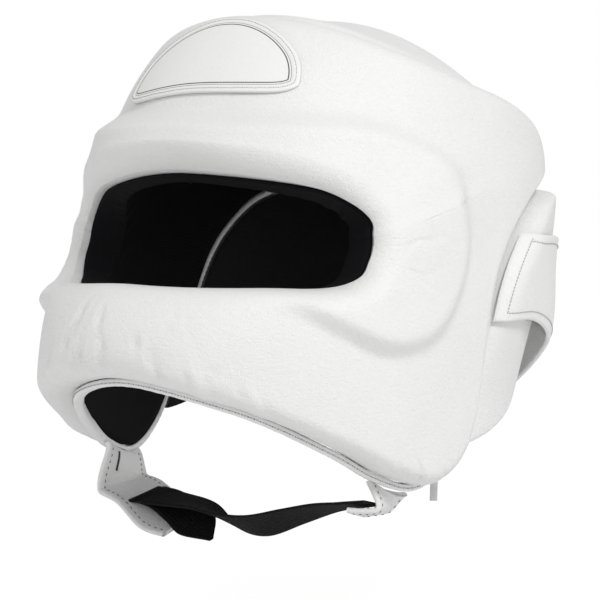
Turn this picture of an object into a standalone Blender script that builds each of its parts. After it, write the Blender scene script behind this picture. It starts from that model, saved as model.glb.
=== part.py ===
"""Full face boxing head guard: a padded leather face shell with a bar across the face,
two rear pads under a closure band, a crown pad and a chin strap.

Metres, +Z up. The face looks along -Y and +X is the wearer's left. The origin is the crown
seat, where the crown of the wearer's head touches the inside. Angles run round the head
from the front towards the wearer's left. Heights are measured from the wearer's eye line."""
import math

import bmesh
import bpy
import numpy as np

# The hollow for the head
HEAD_HALF = 0.084        # half width at the jaw
FACE_REACH = 0.133       # from the head's axis to the inside of the bar
BACK_REACH = 0.099       # from the head's axis to the inside of the back
CROWN_RISE = 0.101       # eye line to the crown seat
JAW_DROP = 0.116         # eye line to the lower corners at the jaw
SQUARENESS = 2.3         # exponent of the sections, 2 is an ellipse

# Padding, lining and leather
PAD = 0.024              # full padding of the cheeks
ROLL_SPREAD = 0.018      # length over which the roll round the window dies out
LINING = 0.0018
BINDING = 0.0042         # width of the bound edge
GAP = 0.0003             # between neighbouring pieces
FIT = 0.0006             # clearance of a layer that is laid over a curved one

# Rear pads, closure band, crown pad, label
REAR_PAD = 0.029
REAR_RIM = 0.013         # thickness left at their edges
REAR_END = 175.0         # angle of their laced edges at the back
BAND_LEATHER = 0.0024
BAND_INSET = 0.0015      # from the shell's bound edge to the sewn end of the closure band
BAND_FIT = 0.0010        # clearance over and beside the thick rear pads
BAND_LAP = 14.0          # how far one half passes the middle of the back, degrees
CROWN_PAD = 0.0055
CROWN_FIT = 0.0012       # its clearance inside the shell's bound edge
CROWN_BEND = 0.005       # more of it at the shell's rear corners
LABEL = 0.0014
LABEL_SPAN = 0.086
LABEL_RISE = 0.036
LABEL_DROP = 0.0095      # from the shell's top edge
LABEL_TILT = 0.0025      # its left end higher, its right end lower
LABEL_BELLY = 0.0025     # its lower edge bows down in the middle

# Chin strap
STRAP_LEATHER = 0.0026
STRAP_WIDTH = 0.030
WEBBING = 0.0014
WEBBING_WIDTH = 0.020

# How it sits on the head
LEAN = 0.0075            # the wearer's right side lower at the eye window
FLARE = 0.010            # the right jaw corner forward of the left one

# Inside of the guard, section by section: height as a share of CROWN_RISE above the eye
# line and of JAW_DROP below it, half width of HEAD_HALF, front of FACE_REACH, back of
# BACK_REACH
SECTIONS = np.array([
    (-1.12, 1.000, 0.827, 0.62),
    (-0.86, 1.012, 0.932, 0.68),
    (-0.60, 1.000, 1.000, 0.77),
    (-0.34, 0.988, 1.000, 0.87),
    (-0.15, 0.976, 0.947, 0.93),
    (0.10, 0.964, 0.842, 0.97),
    (0.40, 0.940, 0.677, 1.00),
    (0.59, 0.893, 0.624, 0.98),
    (0.79, 0.774, 0.534, 0.87),
    (0.94, 0.631, 0.429, 0.71),
    (1.03, 0.500, 0.338, 0.56),
    (1.09, 0.369, 0.248, 0.40),
])

# Spokes of the face shell from the eye window to the outer edge, middle of the forehead
# first, then down the wearer's left side to the middle of the bar. Angles in degrees,
# heights as in SECTIONS, bow as a height too, the rest as shares of PAD: lip (thickness at
# the window), reach and rise of the roll round the window, thickness, the lengths over
# which the two edges are rounded, and the thickness left at the outer edge.
(WINDOW_ANGLE, WINDOW_HEIGHT, LIP, EDGE_ANGLE, EDGE_HEIGHT, BOW, REACH, RISE, THICK,
 ROUND_IN, ROUND_OUT, EDGE) = range(12)
SPOKES = np.array([
    (0.0, 0.310, 0.21, 0, 1.005, 0.00, 1.12, 0.46, 0.60, 0.50, 0.50, 0.21),
    (13.0, 0.300, 0.25, 22, 0.993, 0.00, 1.16, 0.46, 0.60, 0.50, 0.50, 0.21),
    (26.0, 0.276, 0.33, 44, 0.948, 0.00, 1.34, 0.42, 0.63, 0.50, 0.50, 0.21),
    (37.0, 0.236, 0.50, 66, 0.855, 0.00, 1.60, 0.33, 0.75, 0.50, 0.50, 0.21),
    (43.2, 0.185, 0.62, 92, 0.735, 0.02, 1.84, 0.25, 0.83, 0.46, 0.50, 0.21),
    (46.0, 0.138, 0.71, 117, 0.620, 0.05, 1.98, 0.26, 0.90, 0.42, 0.50, 0.30),
    (46.8, 0.100, 0.75, 136, 0.480, 0.08, 2.00, 0.27, 0.94, 0.42, 0.42, 0.45),
    (46.5, 0.065, 0.75, 139, 0.325, 0.10, 2.00, 0.29, 0.98, 0.42, 0.33, 0.60),
    (46.5, 0.040, 0.75, 117, 0.195, 0.10, 2.00, 0.29, 1.00, 0.42, 0.30, 0.65),
    (46.0, 0.005, 0.75, 98, -0.060, 0.05, 1.96, 0.27, 1.00, 0.42, 0.30, 0.65),
    (45.0, -0.034, 0.75, 88.7, -0.345, 0.00, 1.88, 0.23, 1.00, 0.42, 0.30, 0.60),
    (43.5, -0.083, 0.71, 83.7, -0.621, 0.00, 1.75, 0.21, 1.00, 0.42, 0.33, 0.50),
    (41.0, -0.112, 0.62, 77, -0.840, 0.00, 1.60, 0.23, 1.00, 0.46, 0.40, 0.35),
    (37.5, -0.129, 0.54, 65.5, -0.932, 0.00, 1.42, 0.22, 1.00, 0.50, 0.42, 0.23),
    (33.0, -0.134, 0.42, 52.5, -0.872, 0.00, 1.25, 0.16, 1.00, 0.58, 0.50, 0.21),
    (26.0, -0.130, 0.29, 40, -0.747, 0.00, 1.04, 0.08, 0.96, 0.79, 0.54, 0.21),
    (13.5, -0.134, 0.21, 20, -0.558, 0.00, 0.83, 0.00, 0.92, 1.00, 0.58, 0.21),
    (0.0, -0.136, 0.17, 0, -0.478, 0.00, 0.83, 0.00, 0.88, 1.00, 0.58, 0.21),
])
SPOKE_COUNT = 2 * (len(SPOKES) - 1)
CORNER_TOP, CORNER_JAW = 7.4, 11.7   # spokes at the top and bottom of the rear edge

# Rows across a spoke: shares of the roll's width, then of what is left to the outer edge
ROLL_ROWS = (0.0, 0.07, 0.22, 0.48, 0.78, 1.0)
FIELD_ROWS = (0.36, 0.72, 0.93, 1.0)

# Rear pad along its laced edge, top to bottom: share of the way down, height
REAR_LINE = np.array([(0.0, 0.20), (0.3, 0.03), (0.6, -0.16), (1.0, -0.37)])

# Closure band, front end to back: share of its run, top height, bottom height, stand-off of
# its lower edge as a share of REAR_PAD
BAND = np.array([
    (0.00, 0.02, -0.310, 0.00),
    (0.20, 0.00, -0.330, 0.08),
    (0.38, -0.04, -0.440, 0.32),
    (0.58, -0.07, -0.660, 0.48),
    (1.00, -0.07, -0.660, 0.48),
])

# Chin strap: x of HEAD_HALF, y of FACE_REACH, height, tilt of the width from level in
# degrees (rear edge down), share of the width. The leather starts at the wearer's right jaw
# corner, the webbing at the left one.
LEATHER_ROUTE = np.array([
    (-1.030, -0.400, -1.020, 0, 1.10),
    (-0.900, -0.425, -1.075, -6, 1.00),
    (-0.730, -0.440, -1.104, -12, 0.95),
    (-0.560, -0.452, -1.180, -24, 0.88),
    (-0.417, -0.462, -1.215, -28, 0.66),
])
TAB_ROUTE = np.array([
    (1.010, -0.400, -1.010, 0, 0.80),
    (0.930, -0.425, -1.025, 8, 0.78),
    (0.820, -0.450, -1.035, 14, 0.76),
])
WEBBING_ROUTE = np.array([
    (0.900, -0.425, -1.000, 12, 1.0),
    (0.780, -0.450, -1.015, 14, 1.0),
    (0.640, -0.468, -1.035, 17, 1.0),
    (0.437, -0.505, -1.084, 27, 1.0),
    (0.200, -0.520, -1.142, 36, 1.0),
    (-0.030, -0.508, -1.146, 28, 1.0),
    (-0.238, -0.489, -1.105, 4, 1.0),
    (-0.488, -0.466, -1.097, -6, 1.0),
    (-0.740, -0.440, -1.0945, -12, 1.0),
])
TAIL_ROUTE = np.array([
    (-0.640, -0.447, -1.102, -10, 1.0),
    (-0.520, -0.455, -1.116, -14, 1.0),
    (-0.400, -0.462, -1.155, -24, 1.0),
    (-0.300, -0.464, -1.205, -28, 0.9),
    (-0.202, -0.466, -1.259, -28, 0.35),
])


def hermite(x, xs, ys):
    """Smooth curve through the points (xs, ys), read at x."""
    x = np.asarray(x, float)
    slope, step = np.diff(ys) / np.diff(xs), np.diff(xs)
    tangent = np.empty(len(ys))
    tangent[1:-1] = (slope[:-1] * step[1:] + slope[1:] * step[:-1]) / (step[:-1] + step[1:])
    tangent[0], tangent[-1] = slope[0], slope[-1]
    i = np.clip(np.searchsorted(xs, x) - 1, 0, len(xs) - 2)
    t = np.clip((x - xs[i]) / step[i], 0, 1)
    return ((2 * t**3 - 3 * t**2 + 1) * ys[i] + (t**3 - 2 * t**2 + t) * step[i] * tangent[i]
            + (3 * t**2 - 2 * t**3) * ys[i + 1] + (t**3 - t**2) * step[i] * tangent[i + 1])


def ease(t):
    t = np.clip(t, 0, 1)
    return t * t * (3 - 2 * t)


def dome(x, length):
    """Quarter round that reaches 1 at x = length."""
    t = np.clip(x / length, 0, 1)
    return np.sqrt(1 - (1 - t)**2)


def level(share):
    """Height above the eye line of a share of CROWN_RISE, or below it of JAW_DROP."""
    share = np.asarray(share, float)
    return np.where(share > 0, share * CROWN_RISE, share * JAW_DROP)


LEVELS = level(SECTIONS[:, 0])


def hollow(angle, height):
    """Point of the inside, angle in radians, height above the eye line."""
    half = HEAD_HALF * hermite(height, LEVELS, SECTIONS[:, 1])
    front = FACE_REACH * hermite(height, LEVELS, SECTIONS[:, 2])
    back = BACK_REACH * hermite(height, LEVELS, SECTIONS[:, 3])
    s, c = np.sin(angle), np.cos(angle)
    along = np.where(c > 0, front, back)
    r = (np.abs(s / half)**SQUARENESS + np.abs(c / along)**SQUARENESS)**(-1 / SQUARENESS)
    return np.stack([r * s, -r * c, height - CROWN_RISE + 0 * r], -1)


def outward(angle, height):
    """Unit normal of the inside, pointing away from the head."""
    across = hollow(angle + 0.02, height) - hollow(angle - 0.02, height)
    up = hollow(angle, height + 0.002) - hollow(angle, height - 0.002)
    n = np.cross(across, up)
    return n / np.linalg.norm(n, axis=-1, keepdims=True)


def spokes(at):
    """Columns of SPOKES at places along the round, mirrored to the wearer's right."""
    mirror = SPOKES[-2:0:-1].copy()
    mirror[:, [WINDOW_ANGLE, EDGE_ANGLE]] *= -1
    full = np.vstack([SPOKES, mirror])
    rows = np.vstack([full[-3:], full, full[:4]])
    places = np.arange(-3, SPOKE_COUNT + 4)
    at = np.mod(at, SPOKE_COUNT)
    return [hermite(at, places, rows[:, k])[:, None] for k in range(rows.shape[1])]


class Round:
    """The face shell's spokes at places along the round, measured by length."""

    def __init__(self, at):
        self.at = np.asarray(at, float)
        c = spokes(self.at)
        self.lip, self.reach, self.rise, self.thick = (c[k] * PAD for k in (LIP, REACH, RISE, THICK))
        self.round_in, self.round_out, self.rim = (c[k] * PAD for k in (ROUND_IN, ROUND_OUT, EDGE))
        f = np.linspace(0, 1, 61)[None]
        self.angle = np.radians(c[WINDOW_ANGLE] * (1 - f) + c[EDGE_ANGLE] * f)
        low, high = level(c[WINDOW_HEIGHT]), level(c[EDGE_HEIGHT])
        self.height = low * (1 - f) + high * f + 4 * c[BOW] * CROWN_RISE * f * (1 - f)
        steps = np.linalg.norm(np.diff(hollow(self.angle, self.height), axis=1), axis=2)
        self.run = np.concatenate([np.zeros((len(c[0]), 1)), np.cumsum(steps, axis=1)], axis=1)
        self.length = self.run[:, -1:]

    def surface(self, distance):
        """Inside and normal at distances (rows by columns) from the window."""
        read = lambda field: np.array([np.interp(d, r, q) for d, r, q in zip(distance, self.run, field)])
        angle, height = read(self.angle), read(self.height)
        return hollow(angle, height), outward(angle, height)

    def padding(self, distance):
        """Thickness of padding: a roll round the window, rounded at both edges."""
        width = self.reach + ROLL_SPREAD / 2
        full = self.thick + self.rise * (1 - ease((distance - width + ROLL_SPREAD) / ROLL_SPREAD))
        base = self.rim + (full - self.rim) * dome(self.length - distance, self.round_out)
        lip = np.minimum(self.lip, base)
        return lip + (base - lip) * dome(distance, self.round_in)

    def rows(self, start, roll_rows=ROLL_ROWS, field_rows=FIELD_ROWS):
        width = self.reach + ROLL_SPREAD / 2
        roll = start + (width - start) * np.array(roll_rows)[None]
        return np.concatenate([roll, width + (self.length - width) * np.array(field_rows)[None]], axis=1)

    def edge(self):
        """Outer edge: inside point, normal, and the way out of the edge along the inside."""
        point, normal = (a[:, 0] for a in self.surface(self.length))
        e = 0.05
        before, after = (Round.corner(self.at + d) for d in (-e, e))
        along = after - before
        out = np.cross(normal, along)
        out /= np.linalg.norm(out, axis=-1, keepdims=True)
        return point, normal, out

    @staticmethod
    def corner(at):
        c = spokes(at)
        return hollow(np.radians(c[EDGE_ANGLE]), level(c[EDGE_HEIGHT]))[:, 0]


def worn(points):
    """The guard as it sits on the head: its right side lower at the window, less so towards
    the crown and jaw, and its right jaw corner forward."""
    points = np.array(points, float)
    right = ease(-points[..., 0] / HEAD_HALF)
    height = points[..., 2] + CROWN_RISE
    beside = ease(1 + 1.1 * height / JAW_DROP) * (1 - 0.5 * ease(height / CROWN_RISE))
    points[..., 2] -= LEAN * right * beside
    points[..., 1] -= FLARE * right * ease(-height / JAW_DROP)**2
    return points


COLLECTION = bpy.data.collections.new("boxing_head_guard")


def clear_scene():
    for item in list(bpy.data.objects):
        bpy.data.objects.remove(item, do_unlink=True)
    bpy.context.scene.collection.children.link(COLLECTION)


def material(name, colour, roughness):
    mat = bpy.data.materials.new(name)
    mat.use_nodes = True
    shader = mat.node_tree.nodes["Principled BSDF"]
    shader.inputs["Base Color"].default_value = (*colour, 1)
    shader.inputs["Roughness"].default_value = roughness
    shader.inputs["Metallic"].default_value = 0.0
    return mat


def add_mesh(name, points, faces, mat):
    mesh = bpy.data.meshes.new(name)
    mesh.from_pydata([tuple(p) for p in worn(points)], [], faces)
    bm = bmesh.new()
    bm.from_mesh(mesh)
    bmesh.ops.recalc_face_normals(bm, faces=bm.faces)
    bm.to_mesh(mesh)
    bm.free()
    mesh.shade_smooth()
    mesh.materials.append(mat)
    item = bpy.data.objects.new(name, mesh)
    COLLECTION.objects.link(item)
    return item


def cells(rows, columns, closed, offset=0):
    """Triangles of a grid, each cell split along the same diagonal."""
    out = []
    for i in range(rows if closed else rows - 1):
        for j in range(columns - 1):
            a, b = i * columns + j, (i + 1) % rows * columns + j
            out += [(offset + a, offset + b, offset + b + 1), (offset + a, offset + b + 1, offset + a + 1)]
    return out


def slab(name, inner, outer, mat, closed=False):
    """Solid between two grids of points, walled round their edges."""
    rows, columns = inner.shape[:2]
    count = rows * columns
    faces = cells(rows, columns, closed) + [f[::-1] for f in cells(rows, columns, closed, count)]
    for i in range(rows if closed else rows - 1):
        for j in (0, columns - 1):
            a, b = i * columns + j, (i + 1) % rows * columns + j
            faces.append((a, b, b + count, a + count))
    if not closed:
        for i in (0, rows - 1):
            for j in range(columns - 1):
                a = i * columns + j
                faces.append((a, a + 1, a + 1 + count, a + count))
    points = np.concatenate([inner.reshape(-1, 3), outer.reshape(-1, 3)])
    return add_mesh(name, points, faces, mat)


def sheet(name, grid, thickness, mat):
    """Leather or webbing: an open surface given its thickness on the outer side."""
    rows, columns = grid.shape[:2]
    mesh = bpy.data.meshes.new(name)
    mesh.from_pydata([tuple(p) for p in worn(grid.reshape(-1, 3))], [], [f[::-1] for f in cells(rows, columns, False)])
    mesh.materials.append(mat)
    item = bpy.data.objects.new(name, mesh)
    COLLECTION.objects.link(item)
    solid = item.modifiers.new("thickness", 'SOLIDIFY')
    solid.thickness = thickness
    solid.offset = 1
    return item


def face_shell(mat):
    """Padded leather over forehead, cheeks and bar, one piece round the eye window."""
    ring = Round(np.arange(0, SPOKE_COUNT, 0.5))
    distance = ring.rows(LINING + GAP)
    point, normal = ring.surface(distance)
    thick = np.maximum(ring.padding(distance), LINING + GAP + 0.002)
    return slab("face_shell", point + normal * (LINING + GAP), point + normal * thick[..., None], mat, True)


def face_lining(mat):
    """Black cloth over the inside, turned out over the window's wall up to the leather."""
    ring = Round(np.arange(0, SPOKE_COUNT, 0.5))
    distance = np.concatenate([0 * ring.length, ring.rows(LINING + GAP)], axis=1)
    near = np.concatenate([0 * ring.length, distance[:, :1], distance[:, 2:]], axis=1)
    far = np.concatenate([0 * ring.length + LINING, 0 * ring.length + LINING, distance[:, 2:]], axis=1)
    rise = ring.lip - GAP
    inner, normal = ring.surface(near)
    inner[:, 0] += normal[:, 0] * rise
    outer, normal = ring.surface(far)
    outer += normal * LINING
    outer[:, 0] += normal[:, 0] * (rise - LINING)
    return slab("face_lining", inner, outer, mat, True)


def edge_binding(mat):
    """Strip of leather that binds the shell's outer edge all the way round."""
    ring = Round(np.arange(0, SPOKE_COUNT, 0.5))
    point, normal, out = ring.edge()
    across = np.array([GAP, 0.5 * BINDING, BINDING])
    grid = point[:, None] + out[:, None] * across[None, :, None]
    top = grid + normal[:, None] * (ring.rim * np.array([[1.0, 1.0, 0.76]]))[..., None]
    return slab("edge_binding", grid, top, mat, True)


def rear_surface(angle, height):
    """Outside of the rear pads where they are full: thickest at the top."""
    share = ease((height - level(-0.75)) / (level(0.20) - level(-0.75)))
    full = REAR_PAD * (0.47 + 0.53 * share)
    return hollow(angle, height) + outward(angle, height) * full[..., None], full


def rear_patch(rows, columns):
    """Angles and heights of the left rear pad, from behind the shell's edge to the lacing."""
    ring = Round(np.linspace(CORNER_TOP, CORNER_JAW, rows))
    point, _, out = ring.edge()
    start = point + out * (BINDING + BAND_FIT)
    angle0 = np.arctan2(start[:, 0], -start[:, 1])
    height0 = start[:, 2] + CROWN_RISE
    down = np.linspace(0, 1, rows)
    height1 = level(hermite(down, REAR_LINE[:, 0], REAR_LINE[:, 1]))
    t = np.linspace(0, 1, columns)[None]
    angle = angle0[:, None] * (1 - t) + math.radians(REAR_END) * t
    height = height0[:, None] * (1 - ease(t)) + height1[:, None] * ease(t)
    return angle, height


def rear_pad(name, side, mat):
    """Padded rear panel, laced to its twin down the middle of the back."""
    rows, columns = 15, 10
    angle, height = rear_patch(rows, columns)
    inner = hollow(angle, height)
    _, full = rear_surface(angle, height)
    steps = np.linalg.norm(np.diff(inner, axis=1), axis=2)
    run = np.concatenate([np.zeros((rows, 1)), np.cumsum(steps, axis=1)], axis=1)
    drop = np.linalg.norm(np.diff(inner, axis=0), axis=2)
    fall = np.concatenate([np.zeros((1, columns)), np.cumsum(drop, axis=0)], axis=0)
    rim = np.minimum(np.minimum(run, run[:, -1:] - run), np.minimum(fall, fall[-1:] - fall))
    thick = REAR_RIM + (full - REAR_RIM) * dome(rim, 0.4 * REAR_PAD)
    outer = inner + outward(angle, height) * thick[..., None]
    inner, outer = inner * (side, 1, 1), outer * (side, 1, 1)
    return slab(name, inner, outer, mat)


def closure_band(name, side, over, mat):
    """Half of the leather band over the rear pads, sewn at its front end; the wearer's left
    half passes over the right one at the back."""
    rows, columns = 19, 8
    run = np.linspace(0, 1, rows)
    top, bottom, stand = (hermite(run, BAND[:, 0], BAND[:, k])[:, None] for k in (1, 2, 3))
    down = np.linspace(0, 1, columns)[None]
    height = level(top) * (1 - down) + level(bottom) * down
    behind = Round(np.linspace(CORNER_TOP, CORNER_JAW, 40))
    point, _, out = behind.edge()
    start = point + out * (BINDING + BAND_INSET)
    first = np.interp(-height[0], -(start[:, 2] + CROWN_RISE), np.arctan2(start[:, 0], -start[:, 1]))
    angle = first[None] * (1 - run[:, None]) + math.radians(180 + BAND_LAP) * run[:, None]
    stand = stand * REAR_PAD * ease(down)
    lift = BAND_FIT + stand + (BAND_LEATHER + BAND_FIT) * over * ease((run[:, None] - 0.42) / 0.25)
    full = rear_surface(angle, height)[1]
    inside = hollow(angle, height)
    beyond = (angle - first[None]) * np.hypot(inside[..., 0], inside[..., 1]) + BAND_INSET
    thick = REAR_RIM + (full - REAR_RIM) * dome(beyond, 0.4 * REAR_PAD)
    grid = inside + outward(angle, height) * (thick + lift)[..., None]
    grid = grid * (side, 1, 1)
    return sheet(name, grid[:, ::side], BAND_LEATHER, mat)


def crown_pad(mat):
    """Plain pad that closes the top, from the shell's bound edge to the rear pads."""
    ring = Round(np.linspace(0, CORNER_TOP, 31))
    point, _, out = ring.edge()
    side = point + out * (BINDING + CROWN_FIT)
    turn = np.arctan2(side[:, 0], -side[:, 1])
    side = side[:np.argmax(turn) + 1]
    angle, height = rear_patch(15, 19)
    back = hollow(angle[0], height[0] + FIT)[angle[0] > turn.max() + 0.02]
    half = np.concatenate([side, back])
    rim = np.concatenate([half[:0:-1] * (-1, 1, 1), half])
    centre = np.array([0.0, 0.08 * BACK_REACH, 0.0])
    around = np.arctan2(rim[:, 0], -(rim[:, 1] - centre[1]))
    corner = around[len(half) - 1 + len(side) - 1]
    bend = np.exp(-((np.abs(around) - corner) / 0.22)**2)
    rim[:, :2] -= (rim - centre)[:, :2] * (CROWN_BEND / BACK_REACH * bend)[:, None]
    order = np.argsort(around)
    around, rim = around[order], rim[order]
    n = 13
    a, b = np.meshgrid(np.linspace(-1, 1, n), np.linspace(-1, 1, n), indexing='ij')
    u, v = a * np.sqrt(1 - b**2 / 2), b * np.sqrt(1 - a**2 / 2)
    share, turn = np.hypot(u, v), np.arctan2(u, -v)
    at = [np.interp(turn, around, rim[:, k], period=2 * math.pi) for k in range(3)]
    x = centre[0] + (at[0] - centre[0]) * share
    y = centre[1] + (at[1] - centre[1]) * share
    z = at[2] + (centre[2] - at[2]) * np.clip(1 - share**2, 0, 1)
    inner = np.stack([x, y, z], -1)
    normal = np.cross(np.gradient(inner, axis=0), np.gradient(inner, axis=1))
    normal /= np.linalg.norm(normal, axis=-1, keepdims=True)
    normal *= np.sign(normal[..., 2:] + 1e-9)
    thick = CROWN_PAD * (0.75 + 0.25 * dome(1 - share, 0.25))
    return slab("crown_pad", inner, inner + normal * thick[..., None], mat)


def label_plate(mat):
    """Bare half-moon label on the forehead."""
    across, up = 17, 8
    middle = Round(np.array([-0.5, 0.0, 0.5]))
    base = middle.length[1, 0] - LABEL_DROP - LABEL_RISE
    wide = np.linspace(-1, 1, across)
    arch = np.clip(1 - np.abs(wide)**2.2, 0, 1)**0.55
    beside = middle.surface(np.full((3, 1), base))[0][:, 0]
    ring = Round(wide * LABEL_SPAN / 2 / np.linalg.norm(beside[2] - beside[0]))
    foot = LABEL_TILT * wide - LABEL_BELLY * (1 - wide**2)
    share = np.linspace(0, 1, up)[None]
    rows = base + foot[:, None] * (1 - share) + ((0.12 + 0.88 * arch) * LABEL_RISE + LABEL_TILT * wide)[:, None] * share
    point, normal = ring.surface(rows)
    grid = point + normal * (ring.padding(rows) + FIT)[..., None]
    return sheet("label_plate", grid[:, ::-1], LABEL, mat)


def strap(name, route, width, thickness, mat, steps=18, hem=None):
    """Flat strap along a route; with a hem its first row follows those points."""
    places = np.linspace(0, 1, len(route))
    t = np.linspace(0, 1, steps)
    x, y, h, tilt, share = (hermite(t, places, route[:, k]) for k in range(5))
    middle = np.stack([x * HEAD_HALF, y * FACE_REACH, level(h) - CROWN_RISE], -1)
    along = np.gradient(middle, axis=0)
    along /= np.linalg.norm(along, axis=1, keepdims=True)
    tilt = np.radians(tilt)
    across = np.stack([np.zeros(steps), np.cos(tilt), -np.sin(tilt)], -1)
    across -= along * np.sum(across * along, axis=1, keepdims=True)
    across /= np.linalg.norm(across, axis=1, keepdims=True)
    side = np.linspace(-1, 1, 5)
    grid = middle[:, None] + across[:, None] * (side[None] * (share * width / 2)[:, None])[..., None]
    if hem is not None:
        grid = grid + (hem - grid[0])[None] * (1 - ease(t / 0.35))[:, None, None]
    return sheet(name, grid, thickness, mat)


def hem_line(first, last):
    """Points just under the shell's bound edge between two places along the round."""
    point, normal, out = Round(np.linspace(first, last, 5)).edge()
    return point + normal * GAP + out * (BINDING + 1.5 * FIT)


def build():
    clear_scene()
    white = material("white_leather", (0.86, 0.86, 0.85), 0.45)
    black = material("black_lining", (0.012, 0.012, 0.014), 0.8)
    trim = material("white_binding", (0.88, 0.88, 0.87), 0.42)
    rear = material("white_rear_leather", (0.84, 0.84, 0.83), 0.45)
    webbing = material("black_webbing", (0.01, 0.01, 0.012), 0.75)
    face_shell(white)
    face_lining(black)
    edge_binding(trim)
    rear_pad("rear_pad_left", 1, rear)
    rear_pad("rear_pad_right", -1, rear)
    closure_band("closure_band_left", 1, 1, white)
    closure_band("closure_band_right", -1, 0, white)
    crown_pad(rear)
    label_plate(trim)
    strap("chin_strap_leather", LEATHER_ROUTE, STRAP_WIDTH, STRAP_LEATHER, white, 18, hem_line(-14.2, -12.9))
    strap("chin_strap_tab", TAB_ROUTE, STRAP_WIDTH, STRAP_LEATHER, white, 8, hem_line(14.0, 13.1))
    strap("chin_strap_webbing", WEBBING_ROUTE, WEBBING_WIDTH, WEBBING, webbing, 26)
    strap("chin_strap_tail", TAIL_ROUTE, WEBBING_WIDTH, WEBBING, webbing, 14)


build()
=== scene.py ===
import math

import bpy
import numpy as np
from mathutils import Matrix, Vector


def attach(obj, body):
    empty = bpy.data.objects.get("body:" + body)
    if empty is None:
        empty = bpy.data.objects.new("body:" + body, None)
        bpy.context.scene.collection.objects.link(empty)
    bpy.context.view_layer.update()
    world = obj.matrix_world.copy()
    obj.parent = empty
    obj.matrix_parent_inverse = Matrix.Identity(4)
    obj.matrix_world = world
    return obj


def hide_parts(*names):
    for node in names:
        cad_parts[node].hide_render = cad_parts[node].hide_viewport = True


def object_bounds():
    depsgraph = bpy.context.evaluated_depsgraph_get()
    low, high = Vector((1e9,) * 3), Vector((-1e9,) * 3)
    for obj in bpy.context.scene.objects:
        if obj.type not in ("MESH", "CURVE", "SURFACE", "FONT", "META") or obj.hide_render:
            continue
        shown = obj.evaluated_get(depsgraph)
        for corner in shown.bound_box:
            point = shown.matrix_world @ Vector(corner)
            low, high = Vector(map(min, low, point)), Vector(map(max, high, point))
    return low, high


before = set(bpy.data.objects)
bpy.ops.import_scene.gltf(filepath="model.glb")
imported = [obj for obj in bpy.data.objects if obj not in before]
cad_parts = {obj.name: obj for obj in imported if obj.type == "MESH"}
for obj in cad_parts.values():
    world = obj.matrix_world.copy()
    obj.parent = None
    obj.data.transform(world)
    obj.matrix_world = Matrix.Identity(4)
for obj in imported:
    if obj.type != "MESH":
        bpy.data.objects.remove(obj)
cad_box = [list(map(float, corner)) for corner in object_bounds()]

# ----------------------------------------
# The camera: it looks at the guard's left front from a little above the wearer's eyes,
# with a long lens.
# ----------------------------------------
def placed(name, data):
    """New object for a mesh, curve, lamp or camera, linked into the scene."""
    item = bpy.data.objects.new(name, data)
    bpy.context.scene.collection.objects.link(item)
    return item


EYE_LINE = Vector((0, 0, -0.101))
VIEW_TURN, VIEW_RISE, VIEW_AWAY = math.radians(38), math.radians(5), 1.10
view_back = Vector((math.sin(VIEW_TURN) * math.cos(VIEW_RISE),
                    -math.cos(VIEW_TURN) * math.cos(VIEW_RISE), math.sin(VIEW_RISE)))
lens = bpy.data.cameras.new("camera")
lens.lens, lens.sensor_width = 132, 36
lens.shift_x, lens.shift_y = -0.03, -0.108
camera = placed("camera", lens)
camera.location = EYE_LINE + view_back * VIEW_AWAY
camera.rotation_euler = (-view_back).to_track_quat('-Z', 'Y').to_euler()
bpy.context.scene.camera = camera

# ----------------------------------------
# The lace's free end: a flat white bootlace that leaves the foot of the rear lacing, between
# the pads, and hangs straight down behind the closure band. Its far end is cut bare.
# ----------------------------------------
LACE_WIDTH, LACE_THICK, LACE_END = 0.0042, 0.0012, 0.108
LACE_EXIT, LACE_SWAY, LACE_POINTS = (0.004, 0.096, -0.143), 0.0006, 20

ribbon = bpy.data.curves.new("lace_end", 'CURVE')
ribbon.dimensions, ribbon.twist_mode = '3D', 'Z_UP'
ribbon.bevel_depth, ribbon.bevel_resolution = LACE_THICK / 2, 2
ribbon.extrude = (LACE_WIDTH - LACE_THICK) / 2
ribbon.use_fill_caps = True
line = ribbon.splines.new('POLY')
line.points.add(LACE_POINTS - 1)
share = np.linspace(0, 1, LACE_POINTS)
sway = LACE_SWAY * np.sin(share * math.pi)
hanging = np.stack([LACE_EXIT[0] + sway, LACE_EXIT[1] + sway, LACE_EXIT[2] - LACE_END * share], -1)
line.points.foreach_set("co", np.concatenate([hanging, np.ones((LACE_POINTS, 1))], axis=1).ravel())
drawn = placed("lace_line", ribbon)
lace_mesh = bpy.data.meshes.new_from_object(drawn.evaluated_get(bpy.context.evaluated_depsgraph_get()))
lace_mesh.name = "lace_end"
bpy.data.curves.remove(ribbon)
lace_end = placed("lace_end", lace_mesh)
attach(lace_end, "root")

# ----------------------------------------
# The face leather: one white hide over thick foam, from the forehead over both cheeks to
# the bar across the face. It is stretched over the foam and sewn down at the eye window and
# at the outer edge, so it puckers along both seams.
# ----------------------------------------
HEAD_HALF, FACE_REACH, BACK_REACH = 0.084, 0.133, 0.099
CROWN_RISE, JAW_DROP, SQUARENESS = 0.101, 0.116, 2.3
LEAN, FLARE = 0.0075, 0.010
PAD, ROLL_SPREAD, LINING, GAP, FIT = 0.024, 0.012, 0.0018, 0.0003, 0.0006
# height share, half width, front, back
SECTIONS = np.array([
    (-1.12, 1.000, 0.827, 0.62), (-0.86, 1.012, 0.932, 0.68), (-0.60, 1.000, 1.000, 0.77),
    (-0.34, 0.988, 1.000, 0.87), (-0.15, 0.976, 0.947, 0.93), (0.10, 0.964, 0.842, 0.97),
    (0.40, 0.940, 0.677, 1.00), (0.59, 0.893, 0.624, 0.98), (0.79, 0.774, 0.534, 0.87),
    (0.94, 0.631, 0.429, 0.71), (1.03, 0.500, 0.338, 0.56), (1.09, 0.369, 0.248, 0.40)])
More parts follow.
